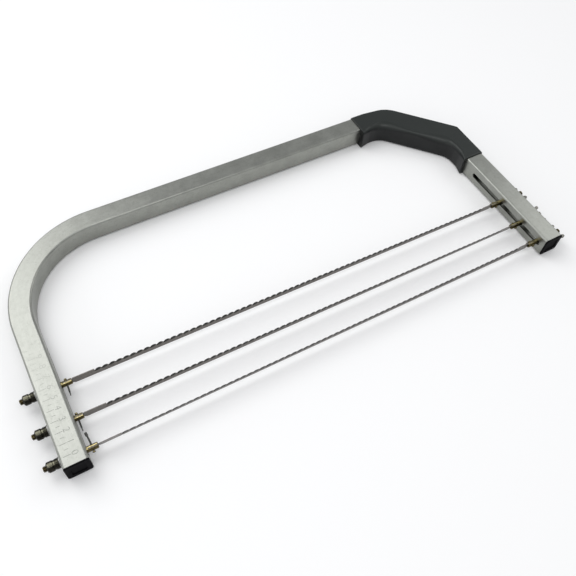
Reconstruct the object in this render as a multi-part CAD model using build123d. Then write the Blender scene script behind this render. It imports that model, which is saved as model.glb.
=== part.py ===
from build123d import *
import os
from math import radians, sin, cos

# Three-blade bow slicer lying on its side: +X runs along the blades, +Y from the two feet of the
# legs to the back bar, +Z up.  The origin is at the centre of the bounding box, on its lowest face.

# Frame: one bent square tube
FRAME_LENGTH = 494.0        # over the outer faces of the two legs
FRAME_DEPTH = 230.0         # from the leg ends to the outer face of the back bar
TUBE = 20.0
TUBE_WALL = 1.5
TUBE_CORNER = 2.0
LEFT_BEND_RADIUS = 88.0     # centreline of the open corner
CHAMFER_ON_BAR = 56.0       # the gripped corner is cut off by a diagonal stretch
CHAMFER_ON_LEG = 60.0
CHAMFER_BEND_RADIUS = 50.0
SLOT_START = 5.0            # from the leg end
SLOT_END = 109.5
SLOT_HEIGHT = 5.2

# Moulded grip over the chamfered corner
GRIP_OVER = 1.3             # thickness above and below the tube
GRIP_SIDE = 0.8             # thickness on the outer faces of bar and leg
GRIP_ON_BAR = 98.5          # reach of the grip from the leg's outer face along the bar
GRIP_LEG_END = 123.5        # height of the grip's lower end above the leg end
GRIP_OUTER_FLAT = 16.0      # the outer face runs true this far, then drops towards the bend
GRIP_OUTER_DROP = 3.4
GRIP_OUTER_ON_BAR = 54.6    # where the diagonal starts, from the leg's outer face
GRIP_OUTER_ON_LEG = 168.3
GRIP_INNER_ON_BAR = 73.9    # where the inner flat starts
GRIP_INNER_ON_LEG = 149.3
GRIP_INNER_WALL = 4.2       # thickness on the hand side, under the bar
GRIP_HAND_SIDE = 1.2        # and beside the leg
GRIP_LIP = 2.8              # finger stop at each end, on the hand side
GRIP_LIP_LENGTH = 11.0
GRIP_OUTER_ROUND = 30.0
GRIP_DROP_ROUND = 60.0
GRIP_INNER_ROUND = 20.0
GRIP_EDGE_ROUND = 2.4
GRIP_END_ROUND = 1.5        # corners of the two open ends, in plan
GRIP_LEG_ROUND = 4.0
GRIP_LIP_ROUND = 8.0

# End plugs
PLUG_FLANGE = 1.5
PLUG_DEPTH = 4.4
PLUG_EDGE_ROUND = 0.6
PLUG_RECESS = 12.0
PLUG_RECESS_DEPTH = 0.8
PLUG_RECESS_CORNER = 1.5
PLUG_BOSS_GAP = 0.8         # between the boss and the tube's bore, bridged by the ribs
PLUG_BOSS_CORNER = 1.0
PLUG_RIBS = 3
PLUG_RIB_HALF = 0.35
PLUG_FIRST_RIB = 0.9

# Blade hardware
ROD_DIAMETER = 5.0
ROD_CHAMFER = 0.5
LEFT_REACH = 13.5           # studs stand out past the left leg
RIGHT_ROD_INSIDE = 11.5
FORK_DEPTH = 8.0
FORK_GAP = 1.0
PIN_FROM_ROD_END = 4.8
PIN_DIAMETER = 1.5
PIN_HOLE_GAP = 0.05
PIN_TAIL = 12.9             # from the stud's axis to the tip of the tab
PIN_HEAD = 2.4
PIN_HEAD_LENGTH = 1.2
PIN_HEAD_GAP = 0.6          # from the stud's surface to the head
TAB_LENGTH = 3.4
TAB_WIDTH = 2.2
TAB_THICK = 0.9
RIVET_HEAD = 3.0
RIVET_HEAD_LENGTH = 1.1
RIVET_ROUND = 0.5
RIVET_TAIL = 0.8            # stands out on the side away from the head
WASHER_DIAMETER = 9.4
WASHER_THICK = 1.0
WASHER_BORE_GAP = 0.1
SEAT_GAP = 0.05             # between faces that slide or turn on each other
RUNNING_FIT = 0.05          # radial clearance of a turning nut
NUT_LENGTH = 9.6
NUT_DIAMETER = 8.6
NUT_HEAD_LENGTH = 5.2
NUT_WAIST = 7.6
NUT_COLLAR = 3.0
NUT_COLLAR_DIAMETER = 8.6
NUT_END_CHAMFER = 0.9
KNURL_GROOVES = 24
KNURL_SIZE = 0.5
WING_HUB = 8.4
WING_HUB_LENGTH = 4.2
WING_HUB_TAPER = 8.0        # degrees
WING_RADIUS = 8.6
WING_THICK = 1.8
WING_TIP_REACH = 8.4        # outermost point of the wings beyond the washer
WING_TIP_WIDTH = 2.4
WING_TIP_START = 5.6        # the outer edge turns straight at this height
WING_TIP_ROUND = 1.0
WING_ROOT = 1.0             # inside the hub, from its axis
WING_ROOT_LIFT = 0.3
WING_HEEL = 4.4             # where the lower edge leaves the hub
WING_HEEL_LIFT = 0.8
WING_SHOULDER = 4.6         # where the upper edge leaves the hub

# Blades
BLADE_WIDTH = 7.2
BLADE_THICK = 0.6
TANG_WIDTH = 4.4
TANG_PAST_PIN = 2.4
TANG_STEP = 1.0             # length of the shoulder on the toothed edge
TANG_TAPER = 2.5            # and on the plain edge
TANG_HOLE_GAP = 0.1
TOOTH_PITCH = 6.0
TOOTH_DEPTH = 1.9
TOOTH_BELOW = 0.4           # tops of the teeth below the strip's plain edge
TOOTH_VALLEY = 0.3          # flat between two teeth
LEFT_PLAIN = 24.0           # toothless length beside each pin
RIGHT_PLAIN = 16.0
STRIP_SPARE = 2.0           # extra width of the twisted strip before its outline is cut

# Each blade: height of its two ends above the leg ends, tilt of the strip at its two ends
# (90 is square to the bow's plane), the left pin's distance from the leg's outer face, the side
# that the left pin's tail points to, whether its tab lies flat, how far the right stud stands out
# past the leg, and the resting turn of its wing nut.
BLADES = {
    "back": (71.1, 65.5, 84.5, 98.6, 24.2, -1, False, 9.0, -8.0),
    "middle": (38.5, 34.9, 87.6, 103.5, 22.5, -1, False, 7.4, 14.0),
    "front": (10.2, 9.3, 103.0, 91.3, 24.4, 1, True, 9.0, -3.5),
}

# Bounding box and the places that follow from it
RIGHT_REACH = SEAT_GAP + WASHER_THICK + SEAT_GAP + WING_TIP_REACH
X_LEFT = -(FRAME_LENGTH + LEFT_REACH + RIGHT_REACH) / 2 + LEFT_REACH
X_RIGHT = X_LEFT + FRAME_LENGTH
Y_END = -(FRAME_DEPTH + GRIP_SIDE + PLUG_FLANGE) / 2 + PLUG_FLANGE
Y_BACK = Y_END + FRAME_DEPTH
Z_MID = GRIP_OVER + TUBE / 2
GRIP_HEIGHT = TUBE + 2 * GRIP_OVER


def tube_path():
    """Centreline of the bent tube, from the left foot round to the right foot."""
    left = X_LEFT + TUBE / 2
    right = X_RIGHT - TUBE / 2
    bar = Y_BACK - TUBE / 2
    corners = [
        (left, Y_END, Z_MID),
        (left, bar, Z_MID),
        (right - CHAMFER_ON_BAR, bar, Z_MID),
        (right, bar - CHAMFER_ON_LEG, Z_MID),
        (right, Y_END, Z_MID),
    ]
    radii = [LEFT_BEND_RADIUS, CHAMFER_BEND_RADIUS, CHAMFER_BEND_RADIUS]
    return FilletPolyline(*corners, radius=radii)


def swept_tube(size, corner):
    """A solid bar of rounded square section along the tube's centreline."""
    start = Plane(origin=(X_LEFT + TUBE / 2, Y_END, Z_MID), x_dir=(1, 0, 0), z_dir=(0, 1, 0))
    section = start * RectangleRounded(size, size, corner)
    return sweep(section, path=tube_path())


def leg_slots():
    """The two long cutters that open both walls of each leg."""
    length = SLOT_END - SLOT_START
    outline = SlotOverall(length, SLOT_HEIGHT)
    cutters = []
    for x_outer, direction in ((X_LEFT, 1), (X_RIGHT, -1)):
        origin = (x_outer + direction * TUBE / 2, Y_END + SLOT_START + length / 2, Z_MID)
        plane = Plane(origin=origin, x_dir=(0, 1, 0), z_dir=(1, 0, 0))
        cutters.append(extrude(plane * outline, amount=TUBE, both=True))
    return cutters


def make_bow_frame():
    frame = swept_tube(TUBE, TUBE_CORNER)
    frame -= swept_tube(TUBE - 2 * TUBE_WALL, TUBE_CORNER - TUBE_WALL)
    for cutter in leg_slots():
        frame -= cutter
    return frame


def make_handle_grip():
    """Grip outline in plan, extruded, rounded and bored out for the tube."""
    outer_x = X_RIGHT + GRIP_SIDE
    outer_y = Y_BACK + GRIP_SIDE
    left_x = X_RIGHT - GRIP_ON_BAR
    low_y = Y_END + GRIP_LEG_END
    hand_y = Y_BACK - TUBE - GRIP_INNER_WALL
    hand_x = X_RIGHT - TUBE - GRIP_HAND_SIDE
    rounds = [GRIP_END_ROUND, GRIP_END_ROUND, GRIP_DROP_ROUND, GRIP_OUTER_ROUND, GRIP_LEG_ROUND,
              GRIP_END_ROUND, GRIP_END_ROUND, GRIP_LIP_ROUND, GRIP_INNER_ROUND, GRIP_INNER_ROUND,
              GRIP_LIP_ROUND]
    outline = FilletPolyline(
        (left_x, hand_y - GRIP_LIP, 0),
        (left_x, outer_y, 0),
        (left_x + GRIP_OUTER_FLAT, outer_y, 0),
        (X_RIGHT - GRIP_OUTER_ON_BAR, outer_y - GRIP_OUTER_DROP, 0),
        (outer_x, Y_END + GRIP_OUTER_ON_LEG, 0),
        (outer_x, low_y, 0),
        (hand_x - GRIP_LIP, low_y, 0),
        (hand_x, low_y + GRIP_LIP_LENGTH, 0),
        (hand_x, Y_END + GRIP_INNER_ON_LEG, 0),
        (X_RIGHT - GRIP_INNER_ON_BAR, hand_y, 0),
        (left_x + GRIP_LIP_LENGTH, hand_y, 0),
        radius=rounds,
        close=True,
    )
    body = extrude(make_face(outline), amount=GRIP_HEIGHT, dir=(0, 0, 1))
    flat_edges = body.edges().filter_by(Plane.XY)
    body = fillet(flat_edges, GRIP_EDGE_ROUND)
    return body - swept_tube(TUBE, TUBE_CORNER)


def make_end_plug(x_centre):
    """Flange over the tube end, ribbed boss pushed inside, and a recessed face."""
    bore = TUBE - 2 * TUBE_WALL
    facing = Plane(origin=(x_centre, Y_END, Z_MID), x_dir=(1, 0, 0), z_dir=(0, -1, 0))
    flange = extrude(facing * RectangleRounded(TUBE, TUBE, TUBE_CORNER), amount=PLUG_FLANGE)
    outer_edges = flange.faces().sort_by(Axis.Y)[0].edges()
    flange = fillet(outer_edges, PLUG_EDGE_ROUND)
    boss_size = bore - 2 * PLUG_BOSS_GAP
    boss_outline = facing * RectangleRounded(boss_size, boss_size, PLUG_BOSS_CORNER)
    plug = flange + extrude(boss_outline, amount=-PLUG_DEPTH)
    rib_step = (PLUG_DEPTH - PLUG_FIRST_RIB - 2 * PLUG_RIB_HALF) / (PLUG_RIBS - 1)
    for index in range(PLUG_RIBS):
        spot = facing.offset(-PLUG_FIRST_RIB - index * rib_step)
        ring = spot * RectangleRounded(bore, bore, TUBE_CORNER - TUBE_WALL)
        plug += extrude(ring, amount=PLUG_RIB_HALF, both=True)
    recess = RectangleRounded(PLUG_RECESS, PLUG_RECESS, PLUG_RECESS_CORNER)
    return plug - extrude(facing.offset(PLUG_FLANGE) * recess, amount=-PLUG_RECESS_DEPTH)


def across(tilt):
    """Directions across the strip: along its width and square to its face."""
    angle = radians(tilt)
    return Vector(0, cos(angle), sin(angle)), Vector(0, -sin(angle), cos(angle))


def x_cylinder(x_from, x_to, y, radius):
    """A cylinder along X at the height of the tube's middle."""
    plane = Plane(origin=(x_from, y, Z_MID), x_dir=(0, 1, 0), z_dir=(1, 0, 0))
    return extrude(plane * Circle(radius), amount=x_to - x_from)


def make_rod(x_outer, x_inner, y, tilt):
    """Threaded stud with a slotted end that takes the blade, and a hole for its pin."""
    low, high = min(x_outer, x_inner), max(x_outer, x_inner)
    rod = chamfer(x_cylinder(low, high, y, ROD_DIAMETER / 2).edges(), ROD_CHAMFER)
    inward = 1 if x_inner > x_outer else -1
    _, face_dir = across(tilt)
    middle = (x_inner - inward * FORK_DEPTH / 2, y, Z_MID)
    plane = Plane(origin=middle, x_dir=(1, 0, 0), z_dir=tuple(face_dir))
    rod -= extrude(plane * Rectangle(FORK_DEPTH, 2 * ROD_DIAMETER), amount=FORK_GAP / 2, both=True)
    hole = Plane(origin=(x_inner - inward * PIN_FROM_ROD_END, y, Z_MID), x_dir=(1, 0, 0),
                 z_dir=tuple(face_dir))
    hole_radius = PIN_DIAMETER / 2 + PIN_HOLE_GAP
    rod -= extrude(hole * Circle(hole_radius), amount=ROD_DIAMETER, both=True)
    return rod


def make_tail_pin(x, y, tilt, side, lies_flat):
    """Locking pin with a small head on one side and a long flattened tail on the other."""
    _, face_dir = across(tilt)
    tail_dir = face_dir * (-side)
    plane = Plane(origin=(x, y, Z_MID), x_dir=(1, 0, 0), z_dir=tuple(tail_dir))
    head_reach = ROD_DIAMETER / 2 + PIN_HEAD_GAP
    start = plane.offset(-head_reach)
    pin = extrude(start * Circle(PIN_DIAMETER / 2), amount=head_reach + PIN_TAIL - TAB_LENGTH / 2)
    pin += extrude(start * Circle(PIN_HEAD / 2), amount=-PIN_HEAD_LENGTH)
    across_x, across_z = (TAB_WIDTH, TAB_THICK) if lies_flat else (TAB_THICK, TAB_WIDTH)
    tab = plane.offset(PIN_TAIL - TAB_LENGTH / 2) * Box(across_x, across_z, TAB_LENGTH)
    return pin + tab


def make_headed_pin(x, y, tilt):
    """Short rivet pin with a domed head on its upper side."""
    _, face_dir = across(tilt)
    plane = Plane(origin=(x, y, Z_MID), x_dir=(1, 0, 0), z_dir=tuple(face_dir))
    base = plane.offset(-(ROD_DIAMETER / 2 + RIVET_TAIL))
    seat = ROD_DIAMETER / 2 + PIN_HOLE_GAP
    pin = extrude(base * Circle(PIN_DIAMETER / 2), amount=RIVET_TAIL + ROD_DIAMETER / 2 + seat)
    head = extrude(plane.offset(seat) * Circle(RIVET_HEAD / 2), amount=RIVET_HEAD_LENGTH)
    return pin + fillet(head.edges().sort_by_distance(plane.origin)[-1:], RIVET_ROUND)


def make_washer(x_from, x_to, y):
    bore = x_cylinder(x_from, x_to, y, ROD_DIAMETER / 2 + WASHER_BORE_GAP)
    return x_cylinder(x_from, x_to, y, WASHER_DIAMETER / 2) - bore


def make_thumb_nut(y):
    """Long nut on the left: seat collar, waist and a grooved head with a chamfered end."""
    seat = X_LEFT - SEAT_GAP - WASHER_THICK - SEAT_GAP
    end = seat - NUT_LENGTH
    head_start = end + NUT_HEAD_LENGTH
    nut = x_cylinder(seat - NUT_COLLAR, seat, y, NUT_COLLAR_DIAMETER / 2)
    nut += x_cylinder(head_start, seat, y, NUT_WAIST / 2)
    head = x_cylinder(end, head_start, y, NUT_DIAMETER / 2)
    nut += chamfer(head.edges().filter_by(GeomType.CIRCLE).sort_by(Axis.X)[0], NUT_END_CHAMFER)
    end_plane = Plane(origin=(end, y, Z_MID), x_dir=(0, 1, 0), z_dir=(1, 0, 0))
    groove = Rot(0, 0, 45) * Box(KNURL_SIZE, KNURL_SIZE, 2 * NUT_HEAD_LENGTH)
    for index in range(KNURL_GROOVES):
        turn = Rot(0, 0, 360.0 * index / KNURL_GROOVES)
        nut -= end_plane * turn * Pos(NUT_DIAMETER / 2, 0, 0) * groove
    return nut - x_cylinder(end, seat, y, ROD_DIAMETER / 2 + RUNNING_FIT)


def wing_outline(side):
    """One wing seen from the side: its root in the hub, leaning out to a blunt tip."""
    tip_start = WING_RADIUS - WING_TIP_WIDTH
    outline = make_face(Polyline(
        (side * WING_ROOT, WING_ROOT_LIFT), (side * WING_HEEL, WING_HEEL_LIFT),
        (side * WING_RADIUS, WING_TIP_START), (side * WING_RADIUS, WING_TIP_REACH),
        (side * tip_start, WING_TIP_REACH), (side * WING_SHOULDER, WING_HUB_LENGTH),
        (side * WING_ROOT, WING_HUB_LENGTH), close=True))
    return fillet(outline.vertices().sort_by(Axis.Y)[-2:], WING_TIP_ROUND)


def make_wing_nut(y, turn):
    """Small wing nut on the right, its two wings leaning outward from the hub."""
    seat = X_RIGHT + SEAT_GAP + WASHER_THICK + SEAT_GAP
    base = Plane(origin=(seat, y, Z_MID), x_dir=(0, 1, 0), z_dir=(1, 0, 0)) * Rot(0, 0, turn)
    nut = extrude(base * Circle(WING_HUB / 2), amount=WING_HUB_LENGTH, taper=WING_HUB_TAPER)
    for side in (1, -1):
        nut += extrude(base * Rot(90, 0, 0) * wing_outline(side), amount=WING_THICK / 2, both=True)
    bore = Cylinder(ROD_DIAMETER / 2 + RUNNING_FIT, 4 * WING_TIP_REACH)
    return nut - base * bore


def blade_outline(length):
    """Flat outline of one blade, with its tangs, pin holes and scalloped edge."""
    half = BLADE_WIDTH / 2
    tang = TANG_WIDTH / 2
    shoulder = PIN_FROM_ROD_END
    face = make_face(Polyline(
        (-TANG_PAST_PIN, -tang), (shoulder, -tang), (shoulder + TANG_TAPER, -half),
        (length - shoulder - TANG_TAPER, -half), (length - shoulder, -tang),
        (length + TANG_PAST_PIN, -tang), (length + TANG_PAST_PIN, tang), (length - shoulder, tang),
        (length - shoulder - TANG_STEP, half), (shoulder + TANG_STEP, half),
        (shoulder, tang), (-TANG_PAST_PIN, tang), close=True))
    teeth = int((length - LEFT_PLAIN - RIGHT_PLAIN) / TOOTH_PITCH)
    run = teeth * TOOTH_PITCH
    valley = half - TOOTH_BELOW - TOOTH_DEPTH
    face -= Pos(LEFT_PLAIN + run / 2, valley + half) * Rectangle(run, BLADE_WIDTH)
    chord = TOOTH_PITCH - TOOTH_VALLEY
    radius = (chord ** 2 / 4 + TOOTH_DEPTH ** 2) / (2 * TOOTH_DEPTH)
    tooth_y = valley + TOOTH_DEPTH - radius
    spots = [LEFT_PLAIN + (index + 0.5) * TOOTH_PITCH for index in range(teeth)]
    face += [Pos(x, tooth_y) * Circle(radius) for x in spots]
    hole = Circle(PIN_DIAMETER / 2 + TANG_HOLE_GAP)
    return face - [Pos(x, 0) * hole for x in (0, length)]


def make_blade(left, right, left_tilt, right_tilt):
    """Strip that turns slowly from one tilt to the other, cut to the flat outline."""
    direction = (right - left).normalized()
    length = (right - left).length
    past = 2 * TANG_PAST_PIN
    ends = []
    for point, tilt, reach in ((left, left_tilt, -past), (right, right_tilt, past)):
        width_dir, _ = across(tilt)
        plane = Plane(origin=tuple(point + direction * reach), x_dir=tuple(width_dir), z_dir=(1, 0, 0))
        ends.append(plane * Rectangle(BLADE_WIDTH + STRIP_SPARE, BLADE_THICK))
    strip = loft(ends, ruled=True)
    width_dir, _ = across((left_tilt + right_tilt) / 2)
    face_dir = direction.cross(width_dir)
    flat = Plane(origin=tuple(left), x_dir=tuple(direction), z_dir=tuple(face_dir))
    return strip & extrude(flat * blade_outline(length), amount=BLADE_WIDTH / 2, both=True)


def make_blade_set(name):
    """All the pieces of one blade position, by node name."""
    left_up, right_up, left_tilt, right_tilt, pin_in, side, lies_flat, right_out, turn = BLADES[name]
    left_y, right_y = Y_END + left_up, Y_END + right_up
    left_pin_x = X_LEFT + pin_in
    right_inner = X_RIGHT - TUBE - RIGHT_ROD_INSIDE
    right_pin_x = right_inner + PIN_FROM_ROD_END
    left_wash = X_LEFT - SEAT_GAP
    right_wash = X_RIGHT + SEAT_GAP
    left_pin = Vector(left_pin_x, left_y, Z_MID)
    right_pin = Vector(right_pin_x, right_y, Z_MID)
    left_rod_end = left_pin_x + PIN_FROM_ROD_END
    return {
        name + "_blade": make_blade(left_pin, right_pin, left_tilt, right_tilt),
        name + "_left_rod": make_rod(X_LEFT - LEFT_REACH, left_rod_end, left_y, left_tilt),
        name + "_right_rod": make_rod(X_RIGHT + right_out, right_inner, right_y, right_tilt),
        name + "_left_pin": make_tail_pin(left_pin_x, left_y, left_tilt, side, lies_flat),
        name + "_right_pin": make_headed_pin(right_pin_x, right_y, right_tilt),
        name + "_left_washer": make_washer(left_wash - WASHER_THICK, left_wash, left_y),
        name + "_right_washer": make_washer(right_wash, right_wash + WASHER_THICK, right_y),
        name + "_thumb_nut": make_thumb_nut(left_y),
        name + "_wing_nut": make_wing_nut(right_y, turn),
    }


def main():
    nodes = {
        "bow_frame": make_bow_frame(),
        "handle_grip": make_handle_grip(),
        "left_end_plug": make_end_plug(X_LEFT + TUBE / 2),
        "right_end_plug": make_end_plug(X_RIGHT - TUBE / 2),
    }
    for name in BLADES:
        nodes.update(make_blade_set(name))
    os.makedirs("parts", exist_ok=True)
    for name, shape in nodes.items():
        export_step(shape, "parts/" + name + ".step")
        box = shape.bounding_box()
        print(name, round(shape.volume, 1), box.min, box.max)


main()
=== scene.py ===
import math

import bmesh
import bpy
from mathutils import Matrix, Vector


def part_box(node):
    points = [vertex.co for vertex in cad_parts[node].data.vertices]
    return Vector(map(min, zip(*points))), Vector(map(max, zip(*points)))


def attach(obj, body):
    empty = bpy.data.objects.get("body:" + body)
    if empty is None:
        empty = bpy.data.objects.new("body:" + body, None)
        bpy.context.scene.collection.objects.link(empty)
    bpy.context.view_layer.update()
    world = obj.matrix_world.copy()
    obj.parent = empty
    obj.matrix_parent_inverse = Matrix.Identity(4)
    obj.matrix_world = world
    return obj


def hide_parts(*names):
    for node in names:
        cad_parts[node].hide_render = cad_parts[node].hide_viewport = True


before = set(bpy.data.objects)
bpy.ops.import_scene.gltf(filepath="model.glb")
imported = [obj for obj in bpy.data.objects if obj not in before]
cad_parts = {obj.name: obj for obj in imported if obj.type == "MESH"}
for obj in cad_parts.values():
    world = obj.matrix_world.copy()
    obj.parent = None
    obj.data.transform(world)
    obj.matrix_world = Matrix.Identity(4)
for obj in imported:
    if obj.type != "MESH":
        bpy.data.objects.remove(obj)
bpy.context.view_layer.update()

# Sizes are in millimetres, like the CAD part's.  A mesh is scaled to metres when it becomes a piece.
MM = 0.001


# ---------------------------------------------------------------- places read from the frame

def node_box(node):
    """Lowest and highest corners of a CAD node, in millimetres."""
    low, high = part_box(node)
    return Vector(low) / MM, Vector(high) / MM


def node_middle(node):
    low, high = node_box(node)
    return (low + high) / 2


BOW_LOW, BOW_HIGH = node_box("bow_frame")
GRIP_LOW, GRIP_HIGH = node_box("handle_grip")
X_LEFT, Y_END, Z_UNDER = BOW_LOW
X_RIGHT, Y_BACK, Z_TOP = BOW_HIGH
Z_MID = (Z_UNDER + Z_TOP) / 2
TUBE = Z_TOP - Z_UNDER
TUBE_CORNER = 2.0

# Each blade: tilt of the strip at its two ends (90 is square to the bow's plane), the side that its
# left pin's tail points to, whether the tail's tab lies flat, how far the tail leans along the blade,
# and its wing nut's turn.
BLADES = {
    "back": (84.5, 98.6, -1, False, 0.3, -8.0),
    "middle": (87.6, 103.5, -1, False, 0.0, 14.0),
    "front": (103.0, 91.3, 1, True, 0.9, -3.5),
}


# ---------------------------------------------------------------- mesh helpers

def skin(bm, rings, closed=False):
    """Quads between neighbouring rings, capped at both ends unless the rings close up."""
    count = len(rings[0])
    pairs = list(zip(rings, rings[1:]))
    if closed:
        pairs.append((rings[-1], rings[0]))
    for first, second in pairs:
        for index in range(count):
            after = (index + 1) % count
            bm.faces.new((first[index], first[after], second[after], second[index]))
    if not closed:
        bm.faces.new(rings[0][::-1])
        bm.faces.new(rings[-1])


def lathe(bm, place, profile, sides, relief=None, closed=False):
    """Turned shape about the place's X axis; profile is (along, radius), relief shifts the radius."""
    rings = []
    for along, radius in profile:
        ring = []
        for index in range(sides):
            angle = 2 * math.pi * index / sides
            reach = radius + (relief(along, angle) if relief else 0.0)
            spot = Vector((along, reach * math.cos(angle), reach * math.sin(angle)))
            ring.append(bm.verts.new(place @ spot))
        rings.append(ring)
    skin(bm, rings, closed)


def frame_at(origin, x_axis, z_axis):
    """Placement whose X and Z axes point the given ways."""
    x_axis = Vector(x_axis).normalized()
    z_axis = Vector(z_axis).normalized()
    y_axis = z_axis.cross(x_axis)
    turn = Matrix((x_axis, y_axis, z_axis)).transposed().to_4x4()
    return Matrix.Translation(origin) @ turn


def block(place, size):
    """A box-shaped cutter."""
    bm = bmesh.new()
    bmesh.ops.create_cube(bm, size=1.0, matrix=place @ Matrix.Diagonal((*size, 1.0)))
    return bm


def drill(place, radius, length):
    """A round cutter about the place's X axis, centred on its origin."""
    bm = bmesh.new()
    lathe(bm, place, [(-length / 2, radius), (length / 2, radius)], 32)
    return bm


def scratch_object(bm):
    bmesh.ops.recalc_face_normals(bm, faces=bm.faces)
    mesh = bpy.data.meshes.new("scratch")
    bm.to_mesh(mesh)
    bm.free()
    thing = bpy.data.objects.new("scratch", mesh)
    bpy.context.scene.collection.objects.link(thing)
    return thing


def combine(base, tool, operation):
    """Boolean of two closed meshes, as a new mesh; both are used up."""
    base_object, tool_object = scratch_object(base), scratch_object(tool)
    step = base_object.modifiers.new("combine", "BOOLEAN")
    step.operation = operation
    step.solver = "EXACT"
    step.object = tool_object
    shown = base_object.evaluated_get(bpy.context.evaluated_depsgraph_get())
    mesh = bpy.data.meshes.new_from_object(shown)
    result = bmesh.new()
    result.from_mesh(mesh)
    bpy.data.meshes.remove(mesh)
    for thing in (base_object, tool_object):
        mesh = thing.data
        bpy.data.objects.remove(thing)
        bpy.data.meshes.remove(mesh)
    return result


def make_piece(name, bm, looks, body, node=None, sharp=35.0):
    """Turns a mesh in millimetres into a piece that rides on a body and stands for a node."""
    bmesh.ops.recalc_face_normals(bm, faces=bm.faces)
    mesh = bpy.data.meshes.new(name)
    bm.to_mesh(mesh)
    bm.free()
    mesh.transform(Matrix.Scale(MM, 4))
    for look in looks:
        mesh.materials.append(look)
    mesh.shade_smooth()
    mesh.set_sharp_from_angle(angle=math.radians(sharp))
    piece = bpy.data.objects.new(name, mesh)
    bpy.context.scene.collection.objects.link(piece)
    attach(piece, body)
    if node:
        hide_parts(node)
    return piece


def rounded_path(corners, radii, steps=10):
    """Points along a bent line with rounded corners, and the lengths at its ends and corners."""
    corners = [Vector((*corner, 0.0)) for corner in corners]
    points = [corners[0]]
    marks = [0]
    for before, corner, after, radius in zip(corners, corners[1:], corners[2:], radii):
        back, ahead = (before - corner).normalized(), (after - corner).normalized()
        half = back.angle(ahead) / 2
        centre = corner + (back + ahead).normalized() * radius / math.sin(half)
        first = (corner + back * radius / math.tan(half) - centre).normalized()
        last = (corner + ahead * radius / math.tan(half) - centre).normalized()
        marks.append(len(points) + steps // 2)
        points += [centre + first.slerp(last, step / steps) * radius for step in range(steps + 1)]
    marks.append(len(points))
    points.append(corners[-1])
    lengths = [0.0]
    for first, second in zip(points, points[1:]):
        lengths.append(lengths[-1] + (second - first).length)
    return points, lengths, [lengths[mark] for mark in marks]


def along_path(path, length):
    """The point at a length along a rounded path, and the direction there."""
    points, lengths, _ = path
    index = 0
    while index < len(points) - 2 and lengths[index + 1] < length:
        index += 1
    span = lengths[index + 1] - lengths[index]
    share = (length - lengths[index]) / span
    step = points[index + 1] - points[index]
    return points[index] + step * share, step.normalized()


def smooth_step(value):
    value = min(max(value, 0.0), 1.0)
    return value * value * (3 - 2 * value)


# ---------------------------------------------------------------- materials

class Look:
    """A material under construction, with short calls for its nodes."""

    def __init__(self, name, colour, metallic, roughness):
        self.material = bpy.data.materials.new(name)
        self.material.use_nodes = True
        self.tree = self.material.node_tree
        self.shader = self.tree.nodes["Principled BSDF"]
        self.shader.inputs["Base Color"].default_value = (*colour, 1.0)
        self.shader.inputs["Metallic"].default_value = metallic
        self.shader.inputs["Roughness"].default_value = roughness
        self.place = self.add("ShaderNodeTexCoord").outputs["Object"]

    def add(self, kind, settings=None, **inputs):
        node = self.tree.nodes.new(kind)
        for key, value in (settings or {}).items():
            setattr(node, key, value)
        for key, value in inputs.items():
            self.feed(value, node.inputs[key.replace("_", " ")])
        return node

    def feed(self, value, socket):
        if isinstance(value, bpy.types.NodeSocket):
            self.tree.links.new(value, socket)
        else:
            socket.default_value = value

    def maths(self, operation, first, second=0.0):
        node = self.add("ShaderNodeMath", {"operation": operation})
        self.feed(first, node.inputs[0])
        self.feed(second, node.inputs[1])
        return node.outputs[0]

    def stretch(self, scale, place=None):
        """Coordinates stretched by a factor on each axis."""
        node = self.add("ShaderNodeMapping")
        node.inputs["Scale"].default_value = scale
        self.feed(place or self.place, node.inputs["Vector"])
        return node.outputs["Vector"]

    def noise(self, size, detail=3.0, place=None, rough=0.55):
        """Noise whose blobs are about size millimetres across."""
        node = self.add("ShaderNodeTexNoise", Scale=1.0 / (size * MM), Detail=detail, Roughness=rough)
        self.feed(place or self.place, node.inputs["Vector"])
        return node.outputs["Fac"]

    def ramp(self, value, low, high, out_low, out_high):
        """Maps a range of values to another, held at both ends."""
        node = self.add("ShaderNodeMapRange")
        for socket, item in zip(node.inputs, (value, low, high, out_low, out_high)):
            self.feed(item, socket)
        return node.outputs["Result"]

    def blend(self, share, first, second):
        """Mix of two colours, each a triple or a socket."""
        node = self.add("ShaderNodeMix", {"data_type": "RGBA"})
        self.feed(share, node.inputs["Factor"])
        for item, socket in ((first, node.inputs[6]), (second, node.inputs[7])):
            self.feed(item if isinstance(item, bpy.types.NodeSocket) else (*item, 1.0), socket)
        return node.outputs[2]

    def set(self, colour, roughness):
        self.feed(colour, self.shader.inputs["Base Color"])
        self.feed(roughness, self.shader.inputs["Roughness"])
        return self

    def shine(self, level):
        """Strength of the clear reflection of a non-metal."""
        self.shader.inputs["Specular IOR Level"].default_value = level
        return self

    def facing_up(self, low, high):
        """From zero to one as a face turns towards straight up, between two heights of its normal."""
        geometry = self.add("ShaderNodeNewGeometry")
        split = self.add("ShaderNodeSeparateXYZ", Vector=geometry.outputs["Normal"])
        return self.ramp(split.outputs["Z"], low, high, 0.0, 1.0)

    def bump(self, height, depth, strength=1.0):
        """Relief of the given depth in millimetres."""
        node = self.add("ShaderNodeBump", Strength=strength, Distance=depth * MM, Height=height)
        self.feed(node.outputs["Normal"], self.shader.inputs["Normal"])
        return self


BEND_RADIUS = 88.0          # of the tube's centreline in the open corner


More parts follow.
